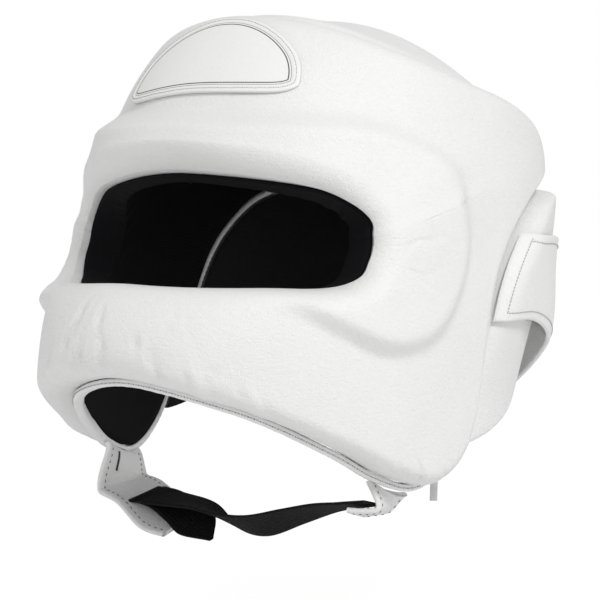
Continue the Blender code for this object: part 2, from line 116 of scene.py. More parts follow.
# spokes from the window to the outer edge
(WINDOW_ANGLE, WINDOW_HEIGHT, LIP, EDGE_ANGLE, EDGE_HEIGHT, BOW, REACH, RISE, THICK,
 ROUND_IN, ROUND_OUT, EDGE) = range(12)
SPOKES = np.array([
    (0.0, 0.310, 0.21, 0, 1.005, 0.00, 1.12, 0.46, 0.60, 0.50, 0.50, 0.21),
    (13.0, 0.300, 0.25, 22, 0.993, 0.00, 1.16, 0.46, 0.60, 0.50, 0.50, 0.21),
    (26.0, 0.276, 0.33, 44, 0.948, 0.00, 1.34, 0.42, 0.63, 0.50, 0.50, 0.21),
    (37.0, 0.236, 0.50, 66, 0.855, 0.00, 1.60, 0.33, 0.75, 0.50, 0.50, 0.21),
    (43.2, 0.185, 0.62, 92, 0.735, 0.02, 1.84, 0.25, 0.83, 0.46, 0.50, 0.21),
    (46.0, 0.138, 0.71, 117, 0.620, 0.05, 1.98, 0.26, 0.90, 0.42, 0.50, 0.30),
    (46.8, 0.100, 0.75, 136, 0.480, 0.08, 2.00, 0.27, 0.94, 0.42, 0.42, 0.45),
    (46.5, 0.065, 0.75, 139, 0.325, 0.10, 2.00, 0.29, 0.98, 0.42, 0.33, 0.60),
    (46.5, 0.040, 0.75, 117, 0.195, 0.10, 2.00, 0.29, 1.00, 0.42, 0.30, 0.65),
    (46.0, 0.005, 0.75, 98, -0.060, 0.05, 1.96, 0.30, 1.00, 0.42, 0.30, 0.65),
    (45.0, -0.034, 0.75, 88.7, -0.345, 0.00, 1.88, 0.30, 1.00, 0.42, 0.30, 0.60),
    (43.5, -0.083, 0.71, 83.7, -0.621, 0.00, 1.75, 0.33, 1.00, 0.42, 0.33, 0.50),
    (41.0, -0.112, 0.62, 77, -0.840, 0.00, 1.55, 0.34, 1.00, 0.46, 0.40, 0.35),
    (37.5, -0.129, 0.54, 65.5, -0.932, 0.00, 1.24, 0.36, 1.00, 0.50, 0.42, 0.23),
    (33.0, -0.134, 0.42, 52.5, -0.872, 0.00, 0.78, 0.30, 1.00, 0.58, 0.50, 0.21),
    (26.0, -0.130, 0.29, 40, -0.747, 0.00, 0.40, 0.15, 0.96, 0.79, 0.54, 0.21),
    (13.5, -0.134, 0.21, 20, -0.558, 0.00, 0.83, 0.00, 0.92, 1.00, 0.58, 0.21),
    (0.0, -0.136, 0.17, 0, -0.478, 0.00, 0.83, 0.00, 0.88, 1.00, 0.58, 0.21)])
SPOKE_COUNT = 2 * (len(SPOKES) - 1)
LEATHER_ROWS, LEATHER_COLUMNS = 24, 72      # rows to a spoke, columns across it
EDGE_PUCKER, WINDOW_PUCKER, BAR_PUCKER, CORNER_PUCKER = 0.0026, 0.0007, 0.0015, 0.0009
EDGE_FOLD, WINDOW_FOLD, BAR_FOLD, CORNER_FOLD = 0.0075, 0.0022, 0.0040, 0.004      # from fold to fold
BAR_MIDDLE, BAR_SPREAD, CHEEK_MIDDLE, CHEEK_SPREAD, CORNER_MIDDLE = 16.7, 0.45, 8.6, 1.9, 13.1  # in spokes
UNEVEN, EASINGS = 0.0005, 24


def hermite(x, xs, ys):
    """Cubic through the points (xs, ys), its slope at each the mean of its neighbours'."""
    x = np.asarray(x, float)
    slope, step = np.diff(ys) / np.diff(xs), np.diff(xs)
    tangent = np.empty(len(ys))
    tangent[1:-1] = (slope[:-1] * step[1:] + slope[1:] * step[:-1]) / (step[:-1] + step[1:])
    tangent[0], tangent[-1] = slope[0], slope[-1]
    i = np.clip(np.searchsorted(xs, x) - 1, 0, len(xs) - 2)
    t = np.clip((x - xs[i]) / step[i], 0, 1)
    return ((2 * t**3 - 3 * t**2 + 1) * ys[i] + (t**3 - 2 * t**2 + t) * step[i] * tangent[i]
            + (3 * t**2 - 2 * t**3) * ys[i + 1] + (t**3 - t**2) * step[i] * tangent[i + 1])


def ease(t):
    """Three t squared less two t cubed, held at 0 and 1 outside."""
    t = np.clip(t, 0, 1)
    return t * t * (3 - 2 * t)


def dome(x, length):
    """Quarter of an ellipse: 0 at x = 0, level at 1 from x = length on."""
    t = np.clip(x / length, 0, 1)
    return np.sqrt(1 - (1 - t)**2)


def level(share):
    """Share times the crown's rise above the eye line, or the jaw's drop below it, one easing
    into the other over a quarter of a share."""
    share = np.asarray(share, float)
    return share * (JAW_DROP + (CROWN_RISE - JAW_DROP) * ease((share + 0.12) / 0.24))


def hollow(angle, height):
    """Inside of the guard: at each height a superellipse with its own half width, front
    and back, its radius the 2.3-norm of sine over width and cosine over reach."""
    levels = level(SECTIONS[:, 0])
    half, front, back = (size * hermite(height, levels, SECTIONS[:, k]) for k, size in
                         ((1, HEAD_HALF), (2, FACE_REACH), (3, BACK_REACH)))
    s, c = np.sin(angle), np.cos(angle)
    r = (np.abs(s / half)**SQUARENESS
         + np.abs(c / np.where(c > 0, front, back))**SQUARENESS)**(-1 / SQUARENESS)
    return np.stack([r * s, -r * c, height - CROWN_RISE + 0 * r], -1)


def unit(v):
    """Vectors divided by their lengths."""
    return v / np.maximum(np.linalg.norm(v, axis=-1, keepdims=True), 1e-12)


def outward(angle, height):
    """Normal of the inside: step round the head crossed with step upwards."""
    return unit(np.cross(hollow(angle + 0.02, height) - hollow(angle - 0.02, height),
                         hollow(angle, height + 0.002) - hollow(angle, height - 0.002)))


def spokes(at):
    """Columns of SPOKES read at places along the round, the wearer's right mirrored."""
    mirror = SPOKES[-2:0:-1].copy()
    mirror[:, [WINDOW_ANGLE, EDGE_ANGLE]] *= -1
    full = np.vstack([SPOKES, mirror])
    rows = np.vstack([full[-3:], full, full[:4]])
    places = np.arange(-3, SPOKE_COUNT + 4)
    return [hermite(np.mod(at, SPOKE_COUNT), places, rows[:, k])[:, None] for k in range(12)]


def travelled(points):
    """Length of the path from its first point to each of its points."""
    return np.concatenate([[0], np.cumsum(np.linalg.norm(np.diff(points, axis=0), axis=1))])


class Round:
    """The shell's spokes at places along the round, each measured in metres from the
    window: its line on the inside runs evenly in angle and height, bowed by a parabola."""

    def __init__(self, at):
        self.at = np.asarray(at, float)
        c = spokes(self.at)
        self.lip, self.reach, self.rise, self.thick = (c[k] * PAD for k in (LIP, REACH, RISE, THICK))
        self.round_in, self.round_out, self.rim = (c[k] * PAD for k in (ROUND_IN, ROUND_OUT, EDGE))
        f = np.linspace(0, 1, 61)[None]
        self.angle = np.radians(c[WINDOW_ANGLE] * (1 - f) + c[EDGE_ANGLE] * f)
        self.height = (level(c[WINDOW_HEIGHT]) * (1 - f) + level(c[EDGE_HEIGHT]) * f
                       + 4 * c[BOW] * CROWN_RISE * f * (1 - f))
        steps = np.linalg.norm(np.diff(hollow(self.angle, self.height), axis=1), axis=2)
        self.run = np.concatenate([np.zeros((len(steps), 1)), np.cumsum(steps, axis=1)], axis=1)
        self.length = self.run[:, -1:]

    def place(self, distance):
        """Angle and height at distances from the window, read off the measured line."""
        k = np.clip((self.run[:, None] <= distance[..., None]).sum(-1) - 1, 0, self.run.shape[1] - 2)
        low, high = np.take_along_axis(self.run, k, 1), np.take_along_axis(self.run, k + 1, 1)
        share = (distance - low) / (high - low)
        return [np.take_along_axis(a, k, 1) * (1 - share) + np.take_along_axis(a, k + 1, 1) * share
                for a in (self.angle, self.height)]

    def surface(self, distance):
        """Point of the inside and its normal."""
        angle, height = self.place(distance)
        return hollow(angle, height), outward(angle, height)

    def padding(self, distance):
        """Foam and leather: the field's thickness, plus the roll round the window that
        eases out past its reach, brought down to lip and rim by quarter rounds."""
        width = self.reach + ROLL_SPREAD / 2
        full = self.thick + self.rise * (1 - ease((distance - width + ROLL_SPREAD) / ROLL_SPREAD))
        base = self.rim + (full - self.rim) * dome(self.length - distance, self.round_out)
        lip = np.minimum(self.lip, base)
        return lip + (base - lip) * dome(distance, self.round_in)

    def edge(self):
        """Outer edge: inside point, normal, and normal crossed with the way along."""
        point, normal = (a[:, 0] for a in self.surface(self.length))
        ends = [spokes(self.at + d) for d in (-0.05, 0.05)]
        before, after = (hollow(np.radians(c[EDGE_ANGLE]), level(c[EDGE_HEIGHT]))[:, 0] for c in ends)
        return point, normal, unit(np.cross(normal, after - before))


def worn(points):
    """The guard as it sits on the head: its right side is lowered by an ease of x, most at
    the window, and its right jaw corner is moved forward by the square of an ease of depth."""
    points = np.array(points, float)
    right = ease(-points[..., 0] / HEAD_HALF)
    height = points[..., 2] + CROWN_RISE
    beside = ease(1 + 1.1 * height / JAW_DROP) * (1 - 0.5 * ease(height / CROWN_RISE))
    points[..., 2] -= LEAN * right * beside
    points[..., 1] -= FLARE * right * ease(-height / JAW_DROP)**2
    return points


HASH_WAY, HASH_SIZE = np.array([12.9898, 78.233, 37.719]), 43758.5453


def noise(points, seed=0.0):
    """Smooth random values from -1 to 1, one cell to a unit: each cell corner's value is the
    fraction of a large sine, and the eight are blended by the ease of the place between."""
    cell = np.floor(points)
    t = ease(points - cell)
    total = 0
    for corner in np.ndindex(2, 2, 2):
        hashed = np.sin((cell + corner) @ HASH_WAY + seed) * HASH_SIZE
        weight = np.prod(np.where(np.array(corner) == 1, t, 1 - t), axis=-1)
        total = total + weight * (2 * (hashed - np.floor(hashed)) - 1)
    return total


def carried_mesh(name, grid, finish, closed=False):
    """Closed mesh of a profile carried along a path: rows follow the path, columns run round
    the profile. An open path ends in two flat caps. Its UV map is in metres: along the
    path, and round the profile. Faces are turned over if they enclose less than nothing."""
    rows, columns = grid.shape[:2]
    count = rows if closed else rows - 1
    i, j = (a.ravel() for a in np.meshgrid(np.arange(count), np.arange(columns), indexing='ij'))
    corners = [(i, j), (i + 1, j), (i + 1, j + 1), (i, j + 1)]
    quads = np.stack([p % rows * columns + q % columns for p, q in corners], -1)
    points = worn(grid.reshape(-1, 3))
    a, b, c, d = (points[quads[:, k]] for k in range(4))
    volume = np.sum(a * np.cross(b, c)) + np.sum(a * np.cross(c, d))
    wrapped = np.concatenate([grid, grid[:1]], axis=0)
    along = np.concatenate([[0], np.cumsum(np.linalg.norm(np.diff(wrapped, axis=0), axis=2).mean(1))])
    wrapped = np.concatenate([grid, grid[:, :1]], axis=1)
    across = np.concatenate([[0], np.cumsum(np.linalg.norm(np.diff(wrapped, axis=1), axis=2).mean(0))])
    uv = np.stack([np.stack([along[p], across[q]], -1) for p, q in corners], 1)
    if volume < 0:
        quads, uv = quads[:, ::-1], uv[:, ::-1]
    faces = quads.tolist()
    uv = uv.reshape(-1, 2)
    if not closed:
        ends = [list(range(columns))[::-1], list(range((rows - 1) * columns, rows * columns))]
        faces += [end[::-1] for end in ends] if volume < 0 else ends
        rest = np.stack([along[[0, rows - 1]].repeat(columns), np.tile(across[:columns], 2)], -1)
        uv = np.concatenate([uv, rest])
    mesh = bpy.data.meshes.new(name)
    mesh.from_pydata(points.tolist(), [], faces)
    mesh.uv_layers.new(name="UVMap").data.foreach_set("uv", uv.astype(np.float32).ravel())
    mesh.shade_smooth()
    mesh.materials.append(finish)
    return placed(name, mesh)


def note(item, name, values):
    """One number for each point, which the material reads by name."""
    layer = item.data.attributes.new(name, 'FLOAT', 'POINT')
    layer.data.foreach_set("value", np.asarray(values, np.float32).ravel())


class Value:
    """A socket whose sums, products and powers add Math nodes to its tree."""

    def __init__(self, finish, socket):
        self.finish, self.socket = finish, socket

    def math(self, operation, *others, clamp=False):
        return self.finish.node("Math", {"operation": operation, "use_clamp": clamp},
                                dict(enumerate((self, *others))))

    def __add__(self, other): return self.math('ADD', other)
    def __sub__(self, other): return self.math('SUBTRACT', other)
    def __mul__(self, other): return self.math('MULTIPLY', other)
    def __truediv__(self, other): return self.math('DIVIDE', other)
    def __pow__(self, other): return self.math('POWER', other)
    def __rsub__(self, other): return (self * -1) + other
    def __rtruediv__(self, other): return self ** -1 * other
    __radd__, __rmul__ = __add__, __mul__

    def over(self, start, end):
        """0 up to start, 1 from end on, straight between."""
        return ((self - start) / (end - start)).math('ADD', 0.0, clamp=True)


class Finish:
    """A material: its tree, its Principled shader, and one method that adds any node."""

    def __init__(self, name, colour, roughness, **sockets):
        self.material = bpy.data.materials.new(name)
        self.material.use_nodes = True
        self.tree = self.material.node_tree
        self.shader = self.tree.nodes["Principled BSDF"]
        self.shader.inputs["Base Color"].default_value = (*colour, 1)
        self.shader.inputs["Roughness"].default_value = roughness
        for key, value in sockets.items():
            self.shader.inputs[key.replace("_", " ")].default_value = value

    def node(self, kind, settings=(), sockets=(), out=0):
        added = self.tree.nodes.new("ShaderNode" + kind)
        for key, value in dict(settings).items():
            if key == "stops":
                while len(added.color_ramp.elements) < len(value):
                    added.color_ramp.elements.new(0.5)
                for element, (position, shade) in zip(added.color_ramp.elements, value):
                    element.position, element.color = position, (shade, shade, shade, 1)
            else:
                setattr(added, key, value)
        for key, value in dict(sockets).items():
            if isinstance(value, Value):
                self.tree.links.new(value.socket, added.inputs[key])
            else:
                added.inputs[key].default_value = value
        return Value(self, added.outputs[out])

    def place(self, scale=(1, 1, 1), source="Object"):
        """Object or UV coordinates, multiplied axis by axis."""
        raw = self.node("TexCoord", out=source)
        return self.node("VectorMath", {"operation": 'MULTIPLY'}, {0: raw, 1: scale})

    def noise(self, vector, scale, detail=2.0, roughness=0.5):
        return self.node("TexNoise", (), {"Vector": vector, "Scale": scale, "Detail": detail,
                                          "Roughness": roughness})

    def cells(self, vector, scale):
        return self.node("TexVoronoi", (), {"Vector": vector, "Scale": scale})

    def blend(self, factor, first, second):
        """Colour that goes from the first to the second as the factor goes from 0 to 1."""
        return self.node("Mix", {"data_type": 'RGBA'}, {0: factor, 6: first, 7: second}, out=2)

    def feed(self, colour=None, roughness=None, height=None, distance=0.001, strength=1.0):
        for socket, value in (("Base Color", colour), ("Roughness", roughness)):
            if value is not None:
                self.tree.links.new(value.socket, self.shader.inputs[socket])
        if height is not None:
            bump = self.node("Bump", (), {"Height": height, "Distance": distance, "Strength": strength})
            self.tree.links.new(bump.socket, self.shader.inputs["Normal"])
        return self.material


def leather(name, white=(0.84, 0.84, 0.835), shade=(0.74, 0.74, 0.735), seam=None, lined=None):
    """Smooth full-grain hide: pores of half a millimetre, a fine random crease pattern, and a
    faint drift of tone. Along its seams, where an attribute says, it is a little darker: painted shade in the
    seam grooves."""
    finish = Finish(name, white, 0.42, Specular_IOR_Level=0.42)
    place = finish.place()
    pores = finish.cells(place, 1500.0)
    creases = finish.noise(finish.place((1, 1, 1.8)), 420.0, 5.0, 0.62)
    drift = finish.noise(place, 22.0, 3.0)
    tone = drift.over(0.35, 0.75) * 0.22 + creases.over(0.35, 0.75) * 0.20
    # painted shade: an attribute darkens the hide towards the shade colour along the seams' grooves
    if seam:
        near = finish.node("Attribute", {"attribute_name": seam}, out="Fac")
        tone = tone + near
    tone = tone.math('ADD', 0.0, clamp=True)
    colour = finish.blend(tone, (*white, 1), (*shade, 1))
    roughness = 0.38 + drift * 0.06 + pores * 0.10
    if lined:
        inside = finish.node("Attribute", {"attribute_name": lined}, out="Fac")
        colour = finish.blend(inside, colour, (0.005, 0.005, 0.006, 1))
        roughness = roughness + inside * 0.5
    height = pores * 0.25 + creases * 0.75
    return finish.feed(colour, roughness, height, 0.0008, 0.75)


white_leather = leather("white_leather", seam="seam")

ring = Round(np.arange(0, SPOKE_COUNT, 1 / LEATHER_ROWS))
start = LINING + GAP
across = (1 - np.cos(np.linspace(0, math.pi, LEATHER_COLUMNS))) / 2
distance = 0.0004 + (ring.length - 0.0004) * across[None]
point, normal = ring.surface(distance)
thick = np.maximum(ring.padding(distance), start + 0.002)
outer = point + normal * thick[..., None]
to_edge = ring.length - distance
field = (ease(distance / 0.006) * ease(to_edge / 0.006))[..., None]
eased = outer
for _ in range(EASINGS):                                 # each averages a row with its two neighbours
    eased = (np.roll(eased, 1, 0) + 2 * eased + np.roll(eased, -1, 0)) / 4
outer = outer + (eased - outer) * field
place = np.minimum(ring.at, SPOKE_COUNT - ring.at)[:, None] + 0 * distance     # same on both sides
side = np.where(ring.at > SPOKE_COUNT / 2, 7.3, 0.0)[:, None]
rim_path = travelled(ring.edge()[0])[:, None]
lip_path = travelled(point[:, 0])[:, None]
zero = 0 * distance
bend = 0.35 * noise(outer / 0.012, 3.0)
fold = noise(np.stack([rim_path / EDGE_FOLD + 0.5 * bend + 11 * to_edge, to_edge / 0.05, zero], -1), 1.0)
crease = -np.clip(1 - np.abs(fold) / 0.16, 0, 1)**1.5
patch = ease((noise(np.stack([rim_path / 0.030 + zero, zero, zero], -1), 5.0) + 0.25) / 0.7)
bar = ease((place - 12.2) / 1.3)
thick_fold = (0.5 * fold + crease) * EDGE_PUCKER * bar * patch * np.exp(-(to_edge / 0.013)**1.5)
middle = np.exp(-((place - BAR_MIDDLE) / BAR_SPREAD)**2) * ease(distance / 0.020) * ease(to_edge / 0.004)
upright = noise(np.stack([rim_path / BAR_FOLD + 0.5 * bend, distance / 0.06, zero + side], -1), 9.0)
thick_fold += -np.clip(1 - np.abs(upright) / 0.13, 0, 1)**1.5 * BAR_PUCKER * middle
cheek = np.exp(-((place - CHEEK_MIDDLE) / CHEEK_SPREAD)**2) * np.exp(-((distance - 0.020) / 0.017)**2)
fine = noise(np.stack([lip_path / WINDOW_FOLD + 1.4 * bend, distance / 0.016, zero + side], -1), 13.0)
thin_fold = -np.clip(1 - np.abs(fine) / 0.22, 0, 1)**1.3 * WINDOW_PUCKER * cheek
corner = np.exp(-((place - CORNER_MIDDLE) / 0.7)**2) * np.exp(-distance / 0.008)
thin_fold += CORNER_PUCKER * corner * noise(np.stack([lip_path / CORNER_FOLD + bend, zero, zero], -1), 21.0)
broad = UNEVEN * noise(outer / 0.026, 2.0) * ease(to_edge / 0.02) * ease(distance / 0.012)
dip = 0.0005 * np.exp(-(to_edge / 0.0006)**2)
outer = outer + normal * (thick_fold + thin_fold + broad - dip)[..., None]
under = np.concatenate([np.linspace(1, 0, 9)[None] * (ring.length - start) + start,
                        start + 0 * ring.length], axis=1)
back, normal_back = ring.surface(under)
back = back + normal_back * np.concatenate([start + 0 * under[:, 1:], ring.lip + FIT], axis=1)[..., None]
# painted shade in the seam grooves: strong along the outer edge, faint along the window
seam = 0.55 * np.exp(-(to_edge / 0.0009)**2) + 0.2 * np.exp(-(distance / 0.0012)**2)
face_leather = carried_mesh("face_leather", np.concatenate([outer, back], axis=1), white_leather,
                            closed=True)
note(face_leather, "seam", np.concatenate([seam, np.zeros(back.shape[:2])], axis=1))
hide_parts("face_shell")
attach(face_leather, "root")

# ----------------------------------------
# The lining: black brushed nylon glued inside the shell and turned out over the window's
# wall, where it meets the leather. It has a join at the middle of the forehead and
# gathers along the window's upper corners.
# ----------------------------------------
LINING_WAVE, LINING_JOIN, LINING_FOLD = 0.0011, 0.0010, 0.0085


def cloth(name, dark=(0.0025, 0.0025, 0.003), light=(0.008, 0.008, 0.010)):
    """Matt woven nylon: two crossed sets of threads, 0.7 mm apart, with lint."""
    finish = Finish(name, dark, 0.85, Specular_IOR_Level=0.12)
    place = finish.place(source="UV")
    threads = [finish.node("TexWave", {"wave_type": 'BANDS', "bands_direction": axis},
                           {"Vector": place, "Scale": 450.0, "Distortion": 1.2, "Detail": 2.0}) for axis in "XY"]
    weave = threads[0].math('MAXIMUM', threads[1])
    lint = finish.noise(finish.place(), 900.0, 4.0, 0.7)
    colour = finish.blend(weave * 0.5 + lint * 0.5, (*dark, 1), (*light, 1))
    return finish.feed(colour, 0.80 + lint * 0.15, weave * 0.7 + lint * 0.5, 0.0003, 0.8)


black_lining = cloth("black_lining")
ring = Round(np.arange(0, SPOKE_COUNT, 1 / 16))
inside = np.concatenate([np.linspace(0, 1, 26) ** 1.3 * 0.14, np.linspace(0.17, 1, 14)])[None] * ring.length
place = np.minimum(ring.at, SPOKE_COUNT - ring.at)[:, None]
lip_path = travelled(ring.surface(0 * ring.length)[0][:, 0])
gather = np.sin(lip_path / LINING_FOLD * 2 * math.pi + 2 * noise(np.stack([lip_path / 0.03] * 3, -1), 4.0))
gather = np.maximum(0, gather)[:, None]
gather = LINING_WAVE * gather * np.exp(-((place - 5.0) / 2.6)**2)
gather = gather + LINING_JOIN * np.exp(-((place / 0.045)**2))
rise = ring.lip - GAP
wall = np.linspace(1, 0, 14)[None] ** 1.4
down, normal_down = ring.surface(0 * wall + 0 * ring.length)
slope = unit(ring.surface(0 * ring.length + 0.002)[0] - ring.surface(0 * ring.length)[0])   # into the shell
front = (down + normal_down * (wall * rise)[..., None]
         - slope * (gather * (1 - wall)**2)[..., None])
sheet, normal = ring.surface(inside)
near = np.exp(-(inside / 0.010)**2)
sheet = sheet - slope * (gather * near)[..., None] - normal * (0.4 * gather * near)[..., None]
behind = inside[:, :0:-1]
hidden, normal = ring.surface(np.maximum(behind, LINING))
hidden = hidden + normal * LINING
shelf, normal = ring.surface(0 * wall + LINING + 0 * ring.length)
shelf = shelf + normal * (LINING + wall[:, ::-1] * (rise - LINING))[..., None]
face_cloth = carried_mesh("face_cloth", np.concatenate([front, sheet[:, 1:], hidden, shelf], axis=1),
                          black_lining, closed=True)
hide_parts("face_lining")
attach(face_cloth, "root")

# ----------------------------------------
# The binding: a narrow strip of white leather folded over the shell's raw outer edge and
# sewn through all round, so it is rounded outside and drawn in at each stitch.
# ----------------------------------------
BINDING, STITCH_STEP = 0.0042, 0.0030

white_binding = leather("white_binding", (0.86, 0.86, 0.855), (0.76, 0.76, 0.755), seam="seam")
ring = Round(np.arange(0, SPOKE_COUNT, 1 / 24))
point, normal, out = ring.edge()
rim_path = travelled(point)[:, None]
turn = np.linspace(0, 2 * math.pi, 37)[:-1][None]
high = ring.rim
pull = 1 - 0.05 * (0.5 + 0.5 * np.cos(rim_path / STITCH_STEP * 2 * math.pi)) - 0.05 * noise(
    np.stack(np.broadcast_arrays(rim_path / 0.006, turn, 0.0), -1), 8.0)
cosine, sine = np.cos(turn), np.sin(turn)
wide = GAP + (BINDING - GAP) * (0.5 + 0.5 * np.sign(cosine) * np.abs(cosine)**0.62 * pull)
tall = high * (0.5 + 0.5 * np.sign(sine) * np.abs(sine)**0.45 * pull)
grid = point[:, None] + out[:, None] * wide[..., None] + normal[:, None] * tall[..., None]
edge_piping = carried_mesh("edge_piping", grid, white_binding, closed=True)
# painted shade on the binding's side that faces the leather, where the narrow gap between them is in shadow
note(edge_piping, "seam", 0.5 * np.exp(-((wide - GAP) / 0.0007)**2))
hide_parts("edge_binding")
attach(edge_piping, "root")


# ----------------------------------------
# The stitching: waxed thread in runs of short stitches, each sunk at its ends in its own
# hole. White on white, so mostly its holes show, each as a small dark dot of painted shade.
# ----------------------------------------
THREAD = 0.00030


def thread_finish(name, colour):
    """Twisted thread: fine slanting ridges along each stitch."""
    finish = Finish(name, colour, 0.6)
    ridges = finish.noise(finish.place(), 4000.0, 1.0)
    shaded = finish.blend(ridges, (*colour, 1), (*(c * 0.7 for c in colour), 1))
    return finish.feed(shaded, None, ridges, 0.0001, 0.5)


def stitch_run(name, path, normals, step, finish, long=0.62, thread=THREAD, shift=0.5):
    """Stitches along a path: each is a bent tube, its middle lifted by a sine, placed at equal
    steps of the path's length, the first one a share of a step from its start."""
    run = travelled(path)
    count = max(2, int(run[-1] / step))
    middle = (np.arange(count) + shift) * run[-1] / count
    t = np.linspace(-0.5, 0.5, 5)
    at = middle[:, None] + t[None] * step * long
    centre = np.stack([np.interp(at, run, path[:, k]) for k in range(3)], -1)
    up = unit(np.stack([np.interp(middle, run, normals[:, k]) for k in range(3)], -1))[:, None]
    centre = centre + up * (thread * (1.6 * np.cos(t * math.pi) - 0.9))[None, :, None]
    along = unit(np.gradient(centre, axis=1))
    beside = unit(np.cross(along, up + 0 * along))
    above = np.cross(beside, along)
    turn = np.linspace(0, 2 * math.pi, 7)[:-1]
    size = thread * np.array([0.55, 1, 1.05, 1, 0.55])[None, :, None, None]
    tube = centre[:, :, None] + size * (beside[:, :, None] * np.cos(turn)[:, None]
                                        + above[:, :, None] * np.sin(turn)[:, None])
    base = np.arange(count)[:, None, None] * 30
    i, j = np.meshgrid(np.arange(4), np.arange(6), indexing='ij')
    quads = np.stack([i * 6 + j, i * 6 + (j + 1) % 6, (i + 1) * 6 + (j + 1) % 6, (i + 1) * 6 + j], -1)
    quads = quads.reshape(1, -1, 4)
    caps = np.array([[5, 4, 3, 2, 1, 0], [24, 25, 26, 27, 28, 29]])[None]
    faces = (base + quads).reshape(-1, 4).tolist() + (base + caps).reshape(-1, 6).tolist()
    mesh = bpy.data.meshes.new(name)
    mesh.from_pydata(worn(tube.reshape(-1, 3)).tolist(), [], faces)
    mesh.shade_smooth()
    mesh.materials.append(finish)
    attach(placed(name, mesh), "root")


def sewn(start, end, path, normals, step, long, thread, dot, dot_size):
    """Stitches along a path and, half a step on, a small dark dot of painted shade for the hole between each
    two.
    """
    stitch_run(f"{start}_stitches{end}", path, normals, step, white_thread, long, thread)
    stitch_run(f"{start}_hole_shadows{end}", path, normals, step, hole_shade, dot, dot_size, shift=0.0)


white_thread = thread_finish("white_thread", (0.62, 0.62, 0.62))
grey_thread = thread_finish("grey_thread", (0.16, 0.16, 0.165))
black_thread = thread_finish("black_thread", (0.012, 0.012, 0.012))
# painted shade for the stitch holes: a dark grey finish for small dots
hole_shade = thread_finish("hole_shade", (0.28, 0.28, 0.28))
path = point + out * BINDING * 0.55 + normal * (high * 1.0 - 0.0001)
path, up = np.vstack([path, path[:1]]), np.vstack([normal, normal[:1]])
sewn("binding", "", path, up, STITCH_STEP, 0.62, THREAD, 0.26, 0.00028)

# ----------------------------------------
# The rear pads: two leather pads with softer foam behind the shell's rear edges, laced
# together down the middle of the back. Pressed out by their filling.
# ----------------------------------------
REAR_PAD, REAR_RIM, REAR_END = 0.029, 0.013, 175.0
CORNER_TOP, CORNER_JAW, BAND_FIT = 7.4, 11.7, 0.0010
REAR_LINE = np.array([(0.0, 0.20), (0.3, 0.03), (0.6, -0.16), (1.0, -0.37)])


def rear_surface(angle, height):
    """Full thickness over the rear pads: 0.47 of it low down, easing to all of it at the top."""
    share = ease((height - level(-0.75)) / (level(0.20) - level(-0.75)))
    return REAR_PAD * (0.47 + 0.53 * share)


def rear_patch(rows, columns):
    """Angles and heights from behind the shell's edge to the lacing: even in angle, easing in
    height."""
    ring = Round(np.linspace(CORNER_TOP, CORNER_JAW, rows))
    point, _, out = ring.edge()
    start = point + out * (BINDING + BAND_FIT)
    angle0, height0 = np.arctan2(start[:, 0], -start[:, 1])[:, None], start[:, 2:] + CROWN_RISE
    height1 = level(hermite(np.linspace(0, 1, rows), REAR_LINE[:, 0], REAR_LINE[:, 1]))[:, None]
    t = np.linspace(0, 1, columns)[None]
    return angle0 * (1 - t) + math.radians(REAR_END) * t, height0 * (1 - ease(t)) + height1 * ease(t)


def pad_mesh(name, inner, outer, finish):
    """Closed pad between two grids: outer rows run on round the rim into the inner ones."""
    grid = np.concatenate([outer, inner[:, ::-1]], axis=1)
    pad = carried_mesh(name, grid, finish)
    note(pad, "lined", np.concatenate([np.zeros(outer.shape[:2]), np.ones(inner.shape[:2])], axis=1))
    return pad


rear_leather = leather("rear_leather", (0.84, 0.84, 0.835), (0.74, 0.74, 0.735), lined="lined")
rows, columns = 96, 80
angle, height = rear_patch(rows, columns)
inner = hollow(angle, height)
run = np.pad(np.cumsum(np.linalg.norm(np.diff(inner, axis=1), axis=2), axis=1), ((0, 0), (1, 0)))
fall = np.pad(np.cumsum(np.linalg.norm(np.diff(inner, axis=0), axis=2), axis=0), ((1, 0), (0, 0)))
rim = np.minimum(np.minimum(run, run[:, -1:] - run), np.minimum(fall, fall[-1:] - fall))
full = rear_surface(angle, height)
thick = REAR_RIM + (full - REAR_RIM) * dome(rim, 0.4 * REAR_PAD) - 0.0012 * (1 - dome(rim, 0.003))
outer = inner + outward(angle, height) * (thick + 0.0003 * noise(inner / 0.020, 6.0))[..., None]
for name, side in (("left", 1), ("right", -1)):
    pad = pad_mesh(f"back_cushion_{name}", inner * (side, 1, 1), outer * (side, 1, 1), rear_leather)
    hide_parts(f"rear_pad_{name}")
    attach(pad, "root")

# ----------------------------------------
# The rear lacing: the same flat lace, drawn to and fro between the two pads' rear rims from
# their top corners down to their feet, through a hole near each rim.
# ----------------------------------------
LACE_TURNS, LACE_REACH, LACE_DEPTH, LACE_TOP, LACE_FOOT = 9, 0.0105, 0.0095, 0.016, -0.036

lace_cloth = Finish("white_lace", (0.80, 0.80, 0.79), 0.75)
ribs = lace_cloth.noise(lace_cloth.place((1, 1, 0.25)), 3000.0, 1.0)
lace_cloth.feed(lace_cloth.blend(ribs, (0.82, 0.82, 0.81, 1), (0.66, 0.66, 0.65, 1)), None, ribs, 0.0002, 0.7)
lace_mesh.materials.clear()
lace_mesh.materials.append(lace_cloth.material)
t = np.linspace(0, LACE_TURNS, LACE_TURNS * 12 + 1)
height = LACE_TOP - (LACE_TOP - LACE_FOOT) * t / LACE_TURNS
swing = np.clip(1.15 * (1 - 2 * np.abs(np.mod(t, 2) - 1)), -1, 1) * LACE_REACH
back = hollow(np.full(len(t), math.pi), height)
middle = back + np.stack([swing, LACE_DEPTH + 0.0008 * np.cos(t * math.pi * 2), 0 * t], -1)
turn = np.linspace(0, 2 * math.pi, 13)[:-1]
oval = np.stack([0 * turn, np.sin(turn) * LACE_THICK / 2, np.cos(turn) * LACE_WIDTH / 2], -1)
